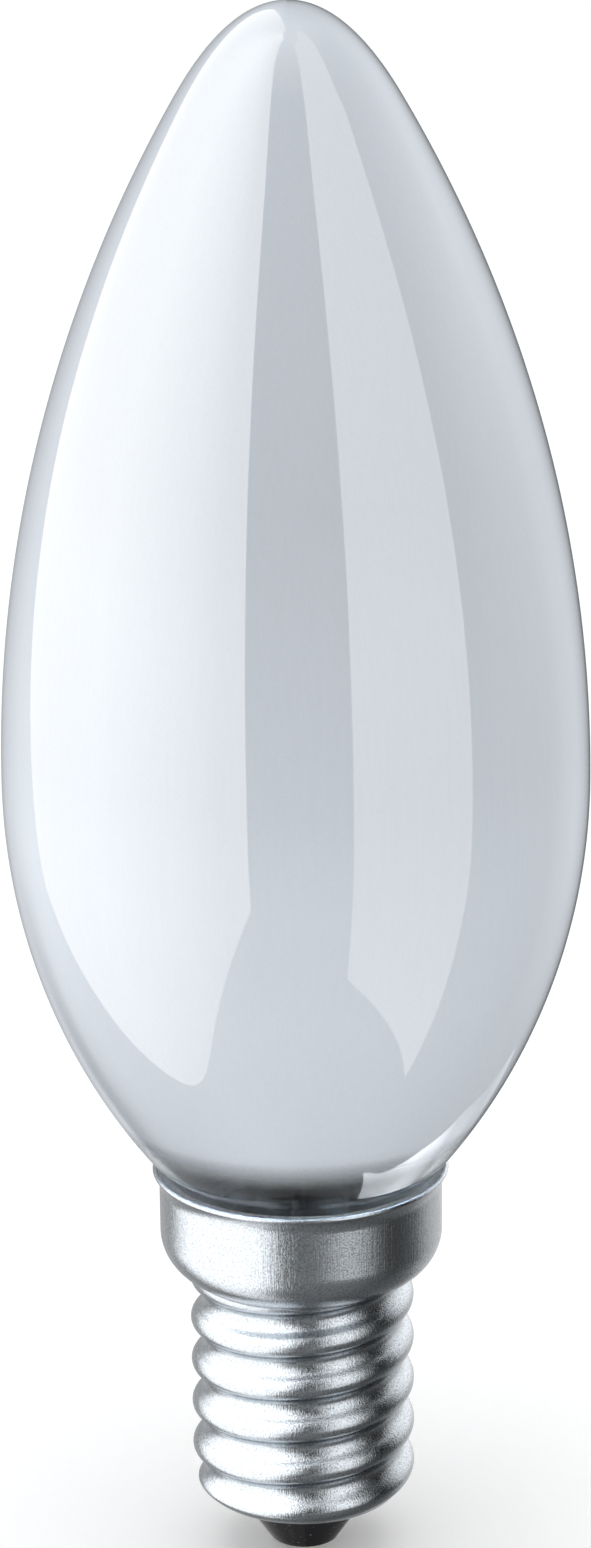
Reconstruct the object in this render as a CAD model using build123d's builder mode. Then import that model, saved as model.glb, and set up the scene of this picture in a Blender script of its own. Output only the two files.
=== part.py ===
from build123d import *
import math
import os

# Driving dimensions, in millimetres and degrees.
# Heights are stacked up the axis, which is Z, from the flat under the centre contact.
# Radii of glass and sheet metal are to the outside.

# Insulator and centre contact
solder_height = 0.3
solder_radius = 1.2
solder_flat_radius = 0.7
contact_radius = 1.5
contact_thickness = 0.3
insulator_drop = 3.2  # from the shell's end down to the insulator's tip
insulator_tip_radius = 2.1
insulator_tip_rounding = 0.5
insulator_plug_height = 2.75
insulator_plug_corner = 1.2
insulator_clearance = 0.05  # between the plug and the roots of the thread

# Screw shell with an E14 thread, rolled from sheet
sheet = 0.3
shell_end_corner = 2.6
shell_hole_radius = 4.2
thread_length = 14.95  # from the shell's end up to the skirt's base
thread_radius = 6.88
thread_depth = 0.8
thread_pitch = 2.822
thread_start_angle = 115.0  # direction of the crest at the shell's end
skirt_height = 6.9
skirt_radius = 8.65
skirt_corner = 2.8
lip_flare = 0.4  # from the skirt out to the lip
lip_height = 1.2

# Glass envelope, a candle shape
glass_wall = 0.5
glass_radius = 17.5
belly_height = 24.8  # from the cap's rim up to the widest place
tip_height = 46.0  # from the widest place up to the tip
crown_radius = 6.5  # where the long upper arc ends and the crown begins
crown_height = 5.4
rim_gap = 0.65  # from the lip in to the glass, where it goes into the cap
cement_wall = 1.35  # from the skirt's inside in to the neck
neck_gap = 2.1  # from the skirt's base up to the neck's end

# Solder at the rim
rim_solder_drop = 0.6  # from where the lip begins down to the solder's lower face
rim_solder_angle = 14.0

# Stem, with its flare, pinch and exhaust tube
stem_radius = 3.3
stem_wall = 0.7
stem_length = 4.5
flare_height = 4.3
flare_thickness = 0.7
pinch_height = 6.5
pinch_width = 8.4
pinch_thickness = 3.2
pinch_rounding = 1.0
exhaust_radius = 1.5
exhaust_wall = 0.5
exhaust_gap = 7.3  # from the insulator up to the sealed end of the exhaust tube

# Lead wires, support and filament
stem_angle = 81.0  # direction of the plane that holds the leads
lead_radius = 0.2
lead_bend = 0.9
lead_kink = 1.5  # straight length beside the insulator, the exhaust tube and the pinch
lead_clearance = 0.1  # between the side lead and the skirt
lead_drop = 0.8  # from the neck's end down to the side lead
side_lead_depth = 1.0  # from the rim down to the side lead's end
lead_spread = 6.0
lead_tail = 5.0
lead_clamp = 0.8
filament_rise = 22.0  # from the pinch up to the filament's ends
filament_radius = 0.5
filament_arch = 2.5
support_radius = 0.15
support_depth = 2.0

# Heights that follow from the stack
shell_end = solder_height + insulator_drop
skirt_base = shell_end + thread_length
rim = skirt_base + skirt_height
widest = rim + belly_height
tip = widest + tip_height
neck_end = skirt_base + neck_gap
insulator_top = shell_end + sheet + insulator_plug_height
exhaust_end = insulator_top + exhaust_gap
flare_top = neck_end + flare_height
pinch_base = flare_top + stem_length
pinch_top = pinch_base + pinch_height
filament_height = pinch_top + filament_rise

# Radii that follow
skirt_inside = skirt_radius - sheet
lip_radius = skirt_radius + lip_flare
rim_glass_radius = lip_radius - rim_gap
neck_radius = skirt_inside - cement_wall
stem_inside = stem_radius - stem_wall
neck_inside = neck_radius - glass_wall
lead_offset = (exhaust_radius + stem_inside) / 2

os.makedirs("parts", exist_ok=True)


def upright_plane(direction):
    """Plane through the axis that faces sideways, with the given direction to its right."""
    turn = math.radians(direction)
    return Plane(
        origin=(0, 0, 0),
        x_dir=(math.cos(turn), math.sin(turn), 0),
        z_dir=(math.sin(turn), -math.cos(turn), 0),
    )


SECTION = upright_plane(0)
LEADS = upright_plane(stem_angle)


def glass_line(inset):
    """Half outline of the bulb from the neck's end to the tip, moved in from the outside."""
    belly_turn = 2 * math.atan((glass_radius - rim_glass_radius) / belly_height)
    shoulder_turn = 2 * math.atan((glass_radius - crown_radius) / (tip_height - crown_height))
    blend_radius = (rim_glass_radius - neck_radius) / (1 - math.cos(belly_turn))
    neck = (neck_radius - inset, neck_end)
    neck_top = (neck[0], rim - blend_radius * math.sin(belly_turn))
    at_rim = (rim_glass_radius - inset * math.cos(belly_turn), rim + inset * math.sin(belly_turn))
    at_widest = (glass_radius - inset, widest)
    crown_start = (
        crown_radius - inset * math.cos(shoulder_turn),
        tip - crown_height - inset * math.sin(shoulder_turn),
    )
    top = tip - inset
    crown_pull = crown_start[0] - (top - crown_start[1]) * math.tan(shoulder_turn)
    with BuildLine() as line:
        Line(neck, neck_top)
        TangentArc(neck_top, at_rim, tangent=(0, 1))
        TangentArc(at_widest, at_rim, tangent=(0, -1))
        TangentArc(at_widest, crown_start, tangent=(0, 1))
        Bezier(crown_start, (crown_pull, top), (0, top))
    return line.line


def threaded_rod(inset, bottom, top):
    """Rod in the thread's form, moved in from the outside: its half section, carried up in two half turns.

    The section is made of arcs, rounded out at the crests and in at the roots. It reaches past both ends,
    which are then cut level.
    """
    arc = thread_depth / 4 + thread_pitch**2 / (16 * thread_depth)
    crest = thread_radius - inset
    root = crest - thread_depth
    core = root / 2
    flank_rise = thread_pitch / 4 * (arc - inset) / arc
    flank = thread_radius - arc + math.sqrt((arc - inset) ** 2 - flank_rise**2)
    first = math.floor((bottom - shell_end) / thread_pitch) - 1
    turns = math.ceil((top - bottom) / thread_pitch) + 2
    with BuildPart() as rod:
        for half in range(2):
            section_plane = upright_plane(thread_start_angle + 180 * half)
            start = shell_end + thread_pitch * (first + half / 2)
            low = start - flank_rise
            high = low + thread_pitch * turns
            with BuildLine(Plane(origin=(0, 0, start), x_dir=section_plane.x_dir, z_dir=(0, 0, 1))) as path:
                Helix(thread_pitch, thread_pitch / 2, crest)
            with BuildSketch(section_plane):
                with BuildLine():
                    for turn in range(turns):
                        height = start + thread_pitch * turn
                        below = (flank, height - flank_rise)
                        above = (flank, height + flank_rise)
                        ThreePointArc(below, (crest, height), above)
                        next_below = (flank, height + thread_pitch - flank_rise)
                        ThreePointArc(above, (root, height + thread_pitch / 2), next_below)
                    Polyline((flank, high), (core, high), (core, low), (flank, low))
                make_face()
            sweep(path=path.wire(), is_frenet=True)
        with BuildSketch(Plane.XY.offset(bottom)):
            Circle((core + root) / 2)
        extrude(amount=top - bottom)
        with BuildSketch(Plane.XY.offset(bottom)):
            Circle(crest + sheet)
        extrude(amount=top - bottom, mode=Mode.INTERSECT)
    return rod.part


def shell_blank(inset):
    """Plain rounded rod that ends the thread, moved in from the outside."""
    radius = thread_radius + sheet - inset
    corner = shell_end_corner - inset
    bottom = shell_end + inset
    with BuildPart() as blank:
        with BuildSketch(SECTION):
            with BuildLine():
                Polyline(
                    (radius, bottom + corner),
                    (radius, rim),
                    (0, rim),
                    (0, bottom),
                    (radius - corner, bottom),
                )
                TangentArc((radius - corner, bottom), (radius, bottom + corner), tangent=(1, 0))
            make_face()
        revolve(axis=Axis.Z)
    return blank.part


# Screw shell: the thread, the cup-shaped skirt with its flared lip, and the hole at its end

with BuildPart() as shell_bore:
    add(threaded_rod(sheet, shell_end - sheet, skirt_base + skirt_corner))
    add(shell_blank(sheet), mode=Mode.INTERSECT)
    with BuildSketch(Plane.XY.offset(shell_end)):
        Circle(shell_hole_radius)
    extrude(amount=2 * sheet)

lip_turn = 2 * math.atan((lip_radius - skirt_radius) / (lip_height - sheet / 2))
lip_across = (sheet / 2 * math.cos(lip_turn), -sheet / 2 * math.sin(lip_turn))
lip_centre = (lip_radius - sheet / 2, rim - sheet / 2)
lip_outer = (lip_centre[0] + lip_across[0], lip_centre[1] + lip_across[1])
lip_inner = (lip_centre[0] - lip_across[0], lip_centre[1] - lip_across[1])
lip_start = rim - lip_height
corner_centre = skirt_radius - skirt_corner
corner_top = skirt_base + skirt_corner

with BuildPart() as screw_shell:
    add(threaded_rod(0, shell_end - sheet, skirt_base + sheet))
    add(shell_blank(0), mode=Mode.INTERSECT)
    with BuildSketch(SECTION):
        with BuildLine():
            Line((0, skirt_base), (corner_centre, skirt_base))
            TangentArc((corner_centre, skirt_base), (skirt_radius, corner_top), tangent=(1, 0))
            Line((skirt_radius, corner_top), (skirt_radius, lip_start))
            TangentArc((skirt_radius, lip_start), lip_outer, tangent=(0, 1))
            TangentArc(lip_outer, lip_inner, tangent=(math.sin(lip_turn), math.cos(lip_turn)))
            TangentArc((skirt_inside, lip_start), lip_inner, tangent=(0, 1))
            Line((skirt_inside, lip_start), (skirt_inside, corner_top))
            TangentArc((skirt_inside, corner_top), (corner_centre, skirt_base + sheet), tangent=(0, -1))
            Polyline((corner_centre, skirt_base + sheet), (0, skirt_base + sheet), (0, skirt_base))
        make_face()
    revolve(axis=Axis.Z)
    add(shell_bore.part, mode=Mode.SUBTRACT)

# Lead wires, bent from the centre contact and from the rim up to the filament

lead_top = [
    (lead_spread, filament_height + lead_clamp),
    (lead_spread, filament_height - lead_tail),
    (lead_offset, pinch_top + lead_kink),
]
centre_lead_route = [(-across, height) for across, height in lead_top] + [
    (-lead_offset, exhaust_end - lead_kink),
    (0, insulator_top + lead_kink),
    (0, solder_height),
]
side_lead_route = lead_top + [
    (lead_offset, neck_end - lead_drop),
    ((neck_radius + skirt_inside) / 2, neck_end - lead_drop),
    (skirt_inside - lead_clearance - lead_radius, rim - side_lead_depth),
]

with BuildPart() as lead_wire_centre:
    with BuildLine(LEADS) as route:
        FilletPolyline(*centre_lead_route, radius=lead_bend)
    with BuildSketch(Plane(origin=route.wire() @ 0, z_dir=route.wire() % 0)):
        Circle(lead_radius)
    sweep()

with BuildPart() as lead_wire_side:
    with BuildLine(LEADS) as route:
        FilletPolyline(*side_lead_route, radius=lead_bend)
    with BuildSketch(Plane(origin=route.wire() @ 0, z_dir=route.wire() % 0)):
        Circle(lead_radius)
    sweep()

# Support wire, from inside the pinch up to the middle of the filament

with BuildPart() as support_wire:
    with BuildSketch(Plane.XY.offset(pinch_top - support_depth)):
        Circle(support_radius)
    extrude(amount=support_depth + filament_rise + filament_arch)

# Filament: the outer shape of its coil, arched between the leads

with BuildPart() as filament:
    with BuildLine(LEADS) as route:
        ThreePointArc(
            (-lead_spread, filament_height),
            (0, filament_height + filament_arch),
            (lead_spread, filament_height),
        )
    with BuildSketch(Plane(origin=route.wire() @ 0, z_dir=route.wire() % 0)):
        Circle(filament_radius)
    sweep()
    add(lead_wire_centre.part, mode=Mode.SUBTRACT)
    add(lead_wire_side.part, mode=Mode.SUBTRACT)
    add(support_wire.part, mode=Mode.SUBTRACT)

# Glass envelope: blown to one wall, open at the neck

glass_outside = glass_line(0)
glass_inside = glass_line(glass_wall)

with BuildPart() as glass_envelope:
    with BuildSketch(SECTION):
        with BuildLine():
            add(glass_outside)
            add(glass_inside)
            Line((neck_inside, neck_end), (neck_radius, neck_end))
            Line((0, tip - glass_wall), (0, tip))
        make_face()
    revolve(axis=Axis.Z)

with BuildPart() as glass_form:
    with BuildSketch(SECTION):
        with BuildLine():
            add(glass_outside)
            Polyline((0, tip), (0, neck_end), (neck_radius, neck_end))
        make_face()
    revolve(axis=Axis.Z)

# Stem: the flare that closes the neck, its tube, the pinch around the wires and the exhaust tube

exhaust_inside = exhaust_radius - exhaust_wall
exhaust_round = exhaust_end + exhaust_radius

with BuildPart() as stem_glass:
    with BuildSketch(SECTION):
        with BuildLine():
            Bezier((neck_inside, neck_end), (stem_inside, neck_end), (stem_inside, flare_top))
            Line((stem_inside, flare_top), (stem_inside, pinch_base - stem_wall))
            Line((stem_inside, pinch_base - stem_wall), (exhaust_radius, pinch_base - stem_wall))
            Line((exhaust_radius, pinch_base - stem_wall), (exhaust_radius, exhaust_round))
            TangentArc((exhaust_radius, exhaust_round), (0, exhaust_end), tangent=(0, -1))
            Line((0, exhaust_end), (0, exhaust_end + exhaust_wall))
            TangentArc((exhaust_inside, exhaust_round), (0, exhaust_end + exhaust_wall), tangent=(0, -1))
            Line((exhaust_inside, exhaust_round), (exhaust_inside, pinch_base - stem_wall))
            Polyline(
                (exhaust_inside, pinch_base - stem_wall),
                (0, pinch_base - stem_wall),
                (0, pinch_base),
                (stem_radius, pinch_base),
                (stem_radius, flare_top),
            )
            Bezier(
                (stem_radius, flare_top),
                (stem_radius, neck_end + flare_thickness),
                (neck_inside, neck_end + flare_thickness),
            )
            Line((neck_inside, neck_end + flare_thickness), (neck_inside, neck_end))
        make_face()
    revolve(axis=Axis.Z)
    with BuildSketch(Plane(origin=(0, 0, pinch_base), x_dir=LEADS.x_dir, z_dir=(0, 0, 1))):
        RectangleRounded(pinch_width, pinch_thickness, pinch_rounding)
    extrude(amount=pinch_height)
    add(lead_wire_centre.part, mode=Mode.SUBTRACT)
    add(lead_wire_side.part, mode=Mode.SUBTRACT)
    add(support_wire.part, mode=Mode.SUBTRACT)

# Insulator: a plug in the shell and a cone below it, with a seat for the contact

plug_radius = thread_radius - thread_depth - sheet - insulator_clearance
plug_bottom = shell_end + sheet

with BuildPart() as insulator:
    with BuildSketch(SECTION):
        with BuildLine():
            Polyline(
                (plug_radius, plug_bottom + insulator_plug_corner),
                (plug_radius, insulator_top),
                (0, insulator_top),
                (0, solder_height),
                (insulator_tip_radius, solder_height),
                (shell_hole_radius, shell_end),
                (shell_hole_radius, plug_bottom),
                (plug_radius - insulator_plug_corner, plug_bottom),
            )
            TangentArc(
                (plug_radius - insulator_plug_corner, plug_bottom),
                (plug_radius, plug_bottom + insulator_plug_corner),
                tangent=(1, 0),
            )
        make_face()
    revolve(axis=Axis.Z)
    fillet(insulator.faces().sort_by(Axis.Z)[0].edges(), insulator_tip_rounding)
    with BuildSketch(Plane.XY.offset(solder_height)):
        Circle(contact_radius)
    extrude(amount=contact_thickness, mode=Mode.SUBTRACT)
    add(lead_wire_centre.part, mode=Mode.SUBTRACT)

# Centre contact: a plate with a hole for the lead

with BuildPart() as centre_contact:
    with BuildSketch(Plane.XY.offset(solder_height)):
        Circle(contact_radius)
        Circle(lead_radius, mode=Mode.SUBTRACT)
    extrude(amount=contact_thickness)

# Solder under the plate, with a flat at its lowest place

with BuildPart() as tip_solder:
    with BuildSketch(SECTION):
        with BuildLine():
            Polyline((solder_radius, solder_height), (0, solder_height), (0, 0), (solder_flat_radius, 0))
            TangentArc((solder_flat_radius, 0), (solder_radius, solder_height), tangent=(1, 0))
        make_face()
    revolve(axis=Axis.Z)

# Solder that fills the lip's groove at the back and joins the side lead to the shell

with BuildPart() as rim_solder:
    with BuildSketch(upright_plane(stem_angle - rim_solder_angle / 2)):
        with BuildLine():
            TangentArc((skirt_inside, lip_start), lip_inner, tangent=(0, 1))
            Polyline(
                lip_inner,
                (neck_inside, lip_inner[1]),
                (neck_inside, lip_start - rim_solder_drop),
                (skirt_inside, lip_start - rim_solder_drop),
                (skirt_inside, lip_start),
            )
        make_face()
    revolve(axis=Axis.Z, revolution_arc=rim_solder_angle)
    add(glass_form.part, mode=Mode.SUBTRACT)
    add(lead_wire_side.part, mode=Mode.SUBTRACT)

# Capping cement: a ring that fills the skirt around the neck, up to the edge of the lip

with BuildPart() as capping_cement:
    with BuildSketch(SECTION):
        with BuildLine():
            TangentArc((skirt_inside, lip_start), lip_inner, tangent=(0, 1))
            Polyline(
                lip_inner,
                (neck_inside, lip_inner[1]),
                (neck_inside, corner_top),
                (skirt_inside, corner_top),
                (skirt_inside, lip_start),
            )
        make_face()
    revolve(axis=Axis.Z)
    add(glass_form.part, mode=Mode.SUBTRACT)
    add(lead_wire_side.part, mode=Mode.SUBTRACT)
    add(rim_solder.part, mode=Mode.SUBTRACT)

pieces = {
    "glass_envelope": glass_envelope,
    "screw_shell": screw_shell,
    "insulator": insulator,
    "centre_contact": centre_contact,
    "tip_solder": tip_solder,
    "rim_solder": rim_solder,
    "capping_cement": capping_cement,
    "stem_glass": stem_glass,
    "lead_wire_centre": lead_wire_centre,
    "lead_wire_side": lead_wire_side,
    "support_wire": support_wire,
    "filament": filament,
}
for name, piece in pieces.items():
    piece.part.label = name
    export_step(piece.part, f"parts/{name}.step")
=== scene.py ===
import math
from collections import namedtuple

import bmesh
import bpy
from bpy.props import FloatProperty, FloatVectorProperty, IntProperty, PointerProperty
from mathutils import Matrix, Vector


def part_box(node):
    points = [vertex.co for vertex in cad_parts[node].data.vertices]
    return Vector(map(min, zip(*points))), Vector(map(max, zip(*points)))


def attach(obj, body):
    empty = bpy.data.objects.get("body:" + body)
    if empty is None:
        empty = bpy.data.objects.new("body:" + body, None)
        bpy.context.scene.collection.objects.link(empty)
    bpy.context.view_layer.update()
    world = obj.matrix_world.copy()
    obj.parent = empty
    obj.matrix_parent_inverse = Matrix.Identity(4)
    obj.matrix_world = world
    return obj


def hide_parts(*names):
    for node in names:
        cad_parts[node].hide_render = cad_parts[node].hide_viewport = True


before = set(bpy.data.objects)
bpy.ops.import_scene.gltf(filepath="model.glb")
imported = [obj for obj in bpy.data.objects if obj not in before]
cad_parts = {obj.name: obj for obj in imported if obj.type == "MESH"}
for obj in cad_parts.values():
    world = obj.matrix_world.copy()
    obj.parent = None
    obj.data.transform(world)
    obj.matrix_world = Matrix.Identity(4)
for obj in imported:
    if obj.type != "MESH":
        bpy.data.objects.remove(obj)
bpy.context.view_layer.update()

bl_info = {
    "name": "Candle bulb",
    "version": (1, 0, 0),
    "blender": (4, 5, 0),
    "location": "3D View > Sidebar > Candle bulb",
    "description": "Builds a frosted candle bulb with a small screw cap around its CAD frame",
    "category": "Object",
}

MM = 0.001
BODY = "root"

GLASS_LOW, GLASS_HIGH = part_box("glass_envelope")
SHELL_LOW, SHELL_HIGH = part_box("screw_shell")
BUTTON_LOW, BUTTON_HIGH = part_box("insulator")
SOLDER_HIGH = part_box("tip_solder")[1]
RIM = SHELL_HIGH.z / MM
WIRES = ("lead_wire_centre", "lead_wire_side", "support_wire")


# Sizes and colours


def length(name, description, default):
    """A size in metres, given in millimetres."""
    return FloatProperty(
        name=name,
        description=description,
        default=default * MM,
        unit="LENGTH",
        subtype="DISTANCE",
        precision=5,
    )


def colour(name, description, default):
    """A linear colour."""
    return FloatVectorProperty(
        name=name, description=description, default=default, subtype="COLOR", size=3, min=0.0, max=1.0
    )


def turn(name, description, default):
    """An angle, given in degrees."""
    return FloatProperty(
        name=name, description=description, default=math.radians(default), unit="ROTATION", subtype="ANGLE"
    )


def share(name, description, default, highest=1.0):
    """A plain number from nothing up to its highest."""
    return FloatProperty(
        name=name, description=description, default=default, min=0.0, max=highest, subtype="FACTOR"
    )


def power(name, description, default):
    """The power of a lamp in watts."""
    return FloatProperty(name=name, description=description, default=default, min=0.0, unit="POWER")


def count(name, description, default):
    """A number of faces or turns."""
    return IntProperty(name=name, description=description, default=default, min=4)


class GlassSettings(bpy.types.PropertyGroup):
    """Blown glass envelope, frosted inside and clear above the cap."""

    radius: length("Radius", "Outside radius at the widest place", min(GLASS_HIGH.x, GLASS_HIGH.y) / MM)
    tip: length("Tip", "Height of the tip", GLASS_HIGH.z / MM)
    neck_end: length("Neck end", "Height of the open end of the neck", GLASS_LOW.z / MM)
    rim: length("Rim", "Height at which the glass leaves the cap", RIM)
    widest: length("Widest", "Height of the widest place", RIM + 24.8)
    rim_radius: length("Rim radius", "Outside radius where the glass leaves the cap", 8.4)
    neck_radius: length("Neck radius", "Outside radius of the neck inside the cap", 7.0)
    crown_radius: length("Crown radius", "Radius at which the rounded crown begins", 6.5)
    crown_height: length("Crown height", "Height of the rounded crown", 5.4)
    wall: length("Wall", "Thickness of the glass", 0.5)
    clear_height: length("Clear band", "Height of the clear band above the rim", 2.2)
    fade_height: length("Fade", "Height over which the frosting thickens", 3.2)
    around: count("Faces around", "Faces around the glass", 192)
    frost: colour("Frosting", "Colour of the frosted glass", (0.64, 0.685, 0.742))
    clear: colour("Clear glass", "Colour of the clear glass", (0.62, 0.645, 0.66))
    gloss: share("Gloss", "Weight of the polished outer surface", 1.0)


class CapSettings(bpy.types.PropertyGroup):
    """Rolled screw cap with its skirt and lip."""

    end: length("Lower end", "Height of the lower end", SHELL_LOW.z / MM)
    rim: length("Rim", "Height of the lip", RIM)
    lip_radius: length("Lip radius", "Outside radius of the flared lip", SHELL_HIGH.x / MM)
    lip_height: length("Lip height", "Height over which the skirt flares out", 1.2)
    sheet: length("Sheet", "Thickness of the sheet", 0.3)
    hole_radius: length("Hole", "Radius of the hole at the lower end", 4.2)
    end_corner: length("End corner", "Rounding of the lower end", 2.6)
    thread_length: length("Thread length", "From the lower end up to the skirt", 14.95)
    thread_radius: length("Thread radius", "Radius of the thread's crests", 6.88)
    thread_depth: length("Thread depth", "Depth of the thread", 0.8)
    thread_pitch: length("Thread pitch", "Rise of the thread in one turn", 2.822)
    thread_start: turn("Thread start", "Direction of the crest at the lower end", 115.0)
    skirt_radius: length("Skirt radius", "Outside radius of the skirt", 8.65)
    skirt_corner: length("Skirt corner", "Rounding below the skirt", 2.8)
    softness: length("Softness", "Size of the rolled blends beside the thread", 0.35)
    around: count("Faces around", "Faces around the cap", 216)
    metal: colour("Metal", "Colour of the bright metal", (0.51, 0.545, 0.575))
    dull: colour("Dull metal", "Colour of the grain in the metal", (0.325, 0.345, 0.37))


class ButtonSettings(bpy.types.PropertyGroup):
    """Black glass insulator at the lower end."""

    top: length("Top", "Height of the plug's upper face", BUTTON_HIGH.z / MM)
    bottom: length("Bottom", "Height of the lower face", BUTTON_LOW.z / MM)
    plug_radius: length("Plug radius", "Radius of the plug inside the cap", BUTTON_HIGH.x / MM)
    plug_corner: length("Plug corner", "Rounding of the plug's lower edge", 1.2)
    shoulder: length("Shoulder", "Height at which the button leaves the cap", SHELL_LOW.z / MM)
    shoulder_radius: length("Shoulder radius", "Radius where the button leaves the cap", 4.2)
    tip_radius: length("Tip radius", "Radius of the lower face", 2.1)
    rounding: length("Rounding", "Rounding of the lower edge", 0.5)
    seat_radius: length("Seat radius", "Radius of the seat for the contact plate", 1.5)
    seat_depth: length("Seat depth", "Depth of the seat for the contact plate", 0.3)
    hole_radius: length("Lead hole", "Radius of the hole for the lead", 0.2)
    around: count("Faces around", "Faces around the button", 128)
    black: colour("Black glass", "Colour of the glass", (0.010, 0.010, 0.012))
    specks: colour("Specks", "Colour of the pale specks in its surface", (0.32, 0.34, 0.36))


class ContactSettings(bpy.types.PropertyGroup):
    """Centre contact with its solder, and the solder at the rim."""

    solder_radius: length("Solder radius", "Radius of the solder", SOLDER_HIGH.x / MM)
    solder_height: length("Solder height", "Height of the solder", SOLDER_HIGH.z / MM)
    flat_radius: length("Flat radius", "Radius of the flat at the lowest place", 0.7)
    brass: colour("Plate", "Colour of the contact plate", (0.62, 0.44, 0.20))
    solder: colour("Solder", "Colour of the solder", (0.52, 0.53, 0.55))


class MountSettings(bpy.types.PropertyGroup):
    """Stem, wires, filament and capping cement."""

    direction: turn("Direction", "Direction of the plane that holds the leads", 81.0)
    spread: length("Lead spread", "From the axis out to each lead at the filament", 6.0)
    filament_height: length("Filament height", "Height of the filament's ends", RIM + 32.5)
    filament_arch: length("Filament arch", "Rise of the filament between its ends", 2.5)
    coil_radius: length("Coil radius", "Outside radius of the filament's coil", 0.5)
    wire_radius: length("Filament wire", "Radius of the wire that the filament is wound from", 0.05)
    coil_turns: count("Turns", "Turns of the filament's coil", 72)
    stem: colour("Stem glass", "Colour of the stem's glass", (0.90, 0.93, 0.92))
    wire: colour("Leads", "Colour of the lead wires", (0.05, 0.05, 0.05))
    tungsten: colour("Filament", "Colour of the filament", (0.22, 0.22, 0.23))
    cement: colour("Cement", "Colour of the capping cement", (0.25, 0.25, 0.25))


class StageSettings(bpy.types.PropertyGroup):
    """Floor, light and camera."""

    camera_distance: length("Camera distance", "From the camera to the point that it looks at", 278.1)
    camera_height: length("Looks at", "Height of the point that the camera looks at", RIM + 24.897)
    camera_aside: length("Aside", "How far that point lies to the right of the axis", -0.024)
    camera_elevation: turn("Elevation", "How far the camera looks down", 17.603)
    camera_roll: turn("Roll", "How far the camera is turned about its view", 0.686)
    lens: FloatProperty(name="Lens", description="Focal length", default=108.68, min=10.0, unit="CAMERA")
    floor_size: length("Floor", "Side of the square floor", 6000.0)
    floor_colour: colour("Floor colour", "Colour of the pale floor", (0.93, 0.93, 0.93))
    dome: share("Dome", "Strength of the even light from all sides", 0.72, 2.0)
    floor_glow: share("Floor glow", "How much brighter the floor is where it is seen", 0.15)
    overhead: power("Overhead", "Power of the overhead light", 6.0)
    side: power("Side", "Power of the soft light on the left", 1.7)
    soaked: power("Soaked", "Power of the light inside the bulb", 0.11)
    panel_distance: length("Panels", "From the axis out to the panels that the gloss shows", 900.0)
    cool_tint: colour("Cool tint", "Tint of the surroundings and the low card", (0.9, 0.95, 1.0))


# Meshes


def ring(radius_at, height, around):
    """Level ring of points. radius_at gives the radius in each direction."""
    points = []
    for step in range(around):
        direction = 2 * math.pi * step / around
        radius = radius_at(direction)
        points.append(Vector((radius * math.cos(direction), radius * math.sin(direction), height)))
    return points


def plain_rings(outline, around):
    """Rings of a round form from its (radius, height) outline."""
    return [ring(lambda direction, radius=radius: radius, height, around) for radius, height in outline]


def arc(centre, radius, start, end, steps):
    """Points on an arc, ends included, with angles in radians."""
    points = []
    for step in range(steps + 1):
        angle = start + (end - start) * step / steps
        points.append((centre[0] + radius * math.cos(angle), centre[1] + radius * math.sin(angle)))
    return points


def arc_over(run, rise):
    """Radius and turn of an arc that begins along a line and rises off it over this run."""
    return (run**2 + rise**2) / (2 * rise), 2 * math.atan(rise / run)


def new_object(name, data):
    """New object in the scene."""
    item = bpy.data.objects.new(name, data)
    bpy.context.scene.collection.objects.link(item)
    return item


def ringed_piece(name, rings, first_pole=None, last_pole=None, sharp=40.0):
    """Closed smooth piece over rings, with a point at each end or its last ring joined to its first."""
    form = bmesh.new()
    levels = [[form.verts.new(point) for point in points] for points in rings]
    around = len(levels[0])
    if first_pole is None:
        levels.append(levels[0])
    for lower, upper in zip(levels, levels[1:]):
        for step in range(around):
            following = (step + 1) % around
            form.faces.new((lower[step], lower[following], upper[following], upper[step]))
    if first_pole is not None:
        for pole, level in ((first_pole, levels[0]), (last_pole, levels[-1])):
            middle = form.verts.new(pole)
            for step in range(around):
                form.faces.new((middle, level[step], level[(step + 1) % around]))
    bmesh.ops.recalc_face_normals(form, faces=form.faces)
    mesh = bpy.data.meshes.new(name)
    form.to_mesh(mesh)
    form.free()
    mesh.shade_smooth()
    mesh.set_sharp_from_angle(angle=math.radians(sharp))
    return new_object(name, mesh)


def stand_in(piece, node, material):
    """Puts a finished piece in the place of a CAD node."""
    piece.data.materials.append(material)
    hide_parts(node)
    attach(piece, BODY)


def refinish(node, material):
    """Gives a CAD node a finished material."""
    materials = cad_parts[node].data.materials
    materials.clear()
    materials.append(material)


def soft_lower(first, second, size):
    """The lower of two numbers, blended where they are close."""
    near = max(size - abs(first - second), 0.0) / size
    return min(first, second) - near * near * size / 4


def soft_higher(first, second, size):
    """The higher of two numbers, blended where they are close."""
    return -soft_lower(-first, -second, size)


# Materials

# Sockets of a colour mix: its two colours and the mixed one.
MIX_FIRST, MIX_SECOND, MIX_RESULT = 6, 7, 2
# Range that most of a noise lies in.
NOISE_LOW, NOISE_HIGH = 0.3, 0.7


def finish(name, base, roughness, metallic=0.0):
    """New material with one shader. Returns the material, its nodes and the shader."""
    material = bpy.data.materials.new(name)
    material.use_nodes = True
    tree = material.node_tree
    shader = tree.nodes["Principled BSDF"]
    shader.inputs["Base Color"].default_value = (*base, 1.0)
    shader.inputs["Roughness"].default_value = roughness
    shader.inputs["Metallic"].default_value = metallic
    material.diffuse_color = (*base, 1.0)
    return material, tree, shader


def place(tree, stretch=(1.0, 1.0, 1.0)):
    """Coordinates in metres of the piece's own frame, stretched."""
    coordinates = tree.nodes.new("ShaderNodeTexCoord")
    mapping = tree.nodes.new("ShaderNodeMapping")
    mapping.inputs["Scale"].default_value = stretch
    tree.links.new(coordinates.outputs["Object"], mapping.inputs["Vector"])
    return mapping.outputs["Vector"]


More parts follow.
